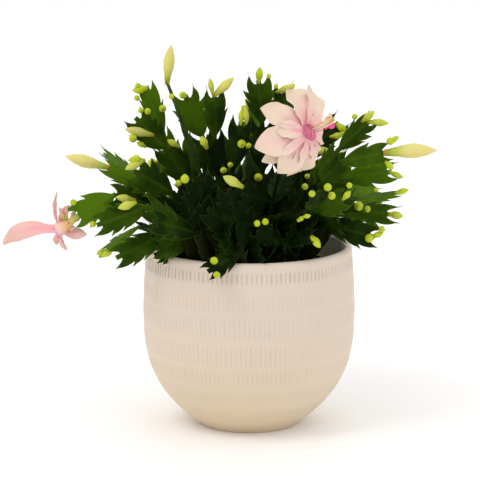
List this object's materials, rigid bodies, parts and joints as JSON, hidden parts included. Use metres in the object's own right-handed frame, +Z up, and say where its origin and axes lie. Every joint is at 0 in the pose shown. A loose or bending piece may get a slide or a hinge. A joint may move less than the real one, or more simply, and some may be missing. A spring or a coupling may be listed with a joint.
{
  "type": "potted christmas cactus",
  "caption": "Christmas cactus in bud with pink flowers, its flat toothed stem segments arching out of a round cream ceramic pot.",
  "frame": {"origin": "centre of the pot's foot, on the surface that it stands on", "axes": "+Z up; -Y is the front, where the larger flower faces; +X is the right of the front"},
  "size_m": [0.3097, 0.2216, 0.2801],
  "materials": {
    "pot_glaze": "cream glaze, satin, over combed rows",
    "potting_soil": "dark peat, matt and crumbly",
    "stem_green": "waxy dark green, paler at the edges",
    "flower_tube": "soft rose",
    "petal_pink": "silky pale pink",
    "stamen_cream": "matt cream",
    "style_magenta": "satin magenta"
  },
  "bodies": {
    "root": {"pot": "pot_glaze", "soil": "potting_soil", "shoot_flower_front": "stem_green", "shoot_flower_left": "stem_green", "shoot_left_bud": "stem_green", "shoot_left_edge": "stem_green", "shoot_left_crest": "stem_green", "shoot_left_pair": "stem_green", "shoot_top_bud": "stem_green", "shoot_top_round": "stem_green", "shoot_top_toothed": "stem_green", "shoot_crown_bud": "stem_green", "shoot_crown_small": "stem_green", "shoot_crown_back": "stem_green", "shoot_right_olive": "stem_green", "shoot_right_long": "stem_green", "shoot_right_bud": "stem_green", "shoot_right_dark": "stem_green", "shoot_right_edge": "stem_green", "shoot_right_low": "stem_green", "shoot_right_hang": "stem_green", "shoot_front_right": "stem_green", "shoot_front_low": "stem_green", "shoot_front_small": "stem_green", "shoot_front_rim": "stem_green", "shoot_left_fall": "stem_green", "shoot_left_spiky": "stem_green", "shoot_left_second": "stem_green", "shoot_left_oval": "stem_green", "shoot_left_inner": "stem_green", "shoot_centre_face": "stem_green", "shoot_centre_low": "stem_green", "shoot_right_front": "stem_green", "shoot_back_left": "stem_green", "shoot_back_centre": "stem_green", "shoot_back_right": "stem_green", "shoot_back_low": "stem_green", "shoot_back_side": "stem_green", "shoot_back_fall": "stem_green", "shoot_back_high": "stem_green", "flower_front_tube": "flower_tube", "flower_front_petal_1": "petal_pink", "flower_front_petal_2": "petal_pink", "flower_front_petal_3": "petal_pink", "flower_front_petal_4": "petal_pink", "flower_front_petal_5": "petal_pink", "flower_front_petal_6": "petal_pink", "flower_front_petal_7": "petal_pink", "flower_front_petal_8": "petal_pink", "flower_front_stamens": "stamen_cream", "flower_front_style": "style_magenta", "flower_left_tube": "flower_tube", "flower_left_petal_1": "petal_pink", "flower_left_petal_2": "petal_pink", "flower_left_petal_3": "petal_pink", "flower_left_petal_4": "petal_pink", "flower_left_petal_5": "petal_pink", "flower_left_petal_6": "petal_pink", "flower_left_stamens": "stamen_cream", "flower_left_style": "style_magenta"}
  },
  "joints": []
}
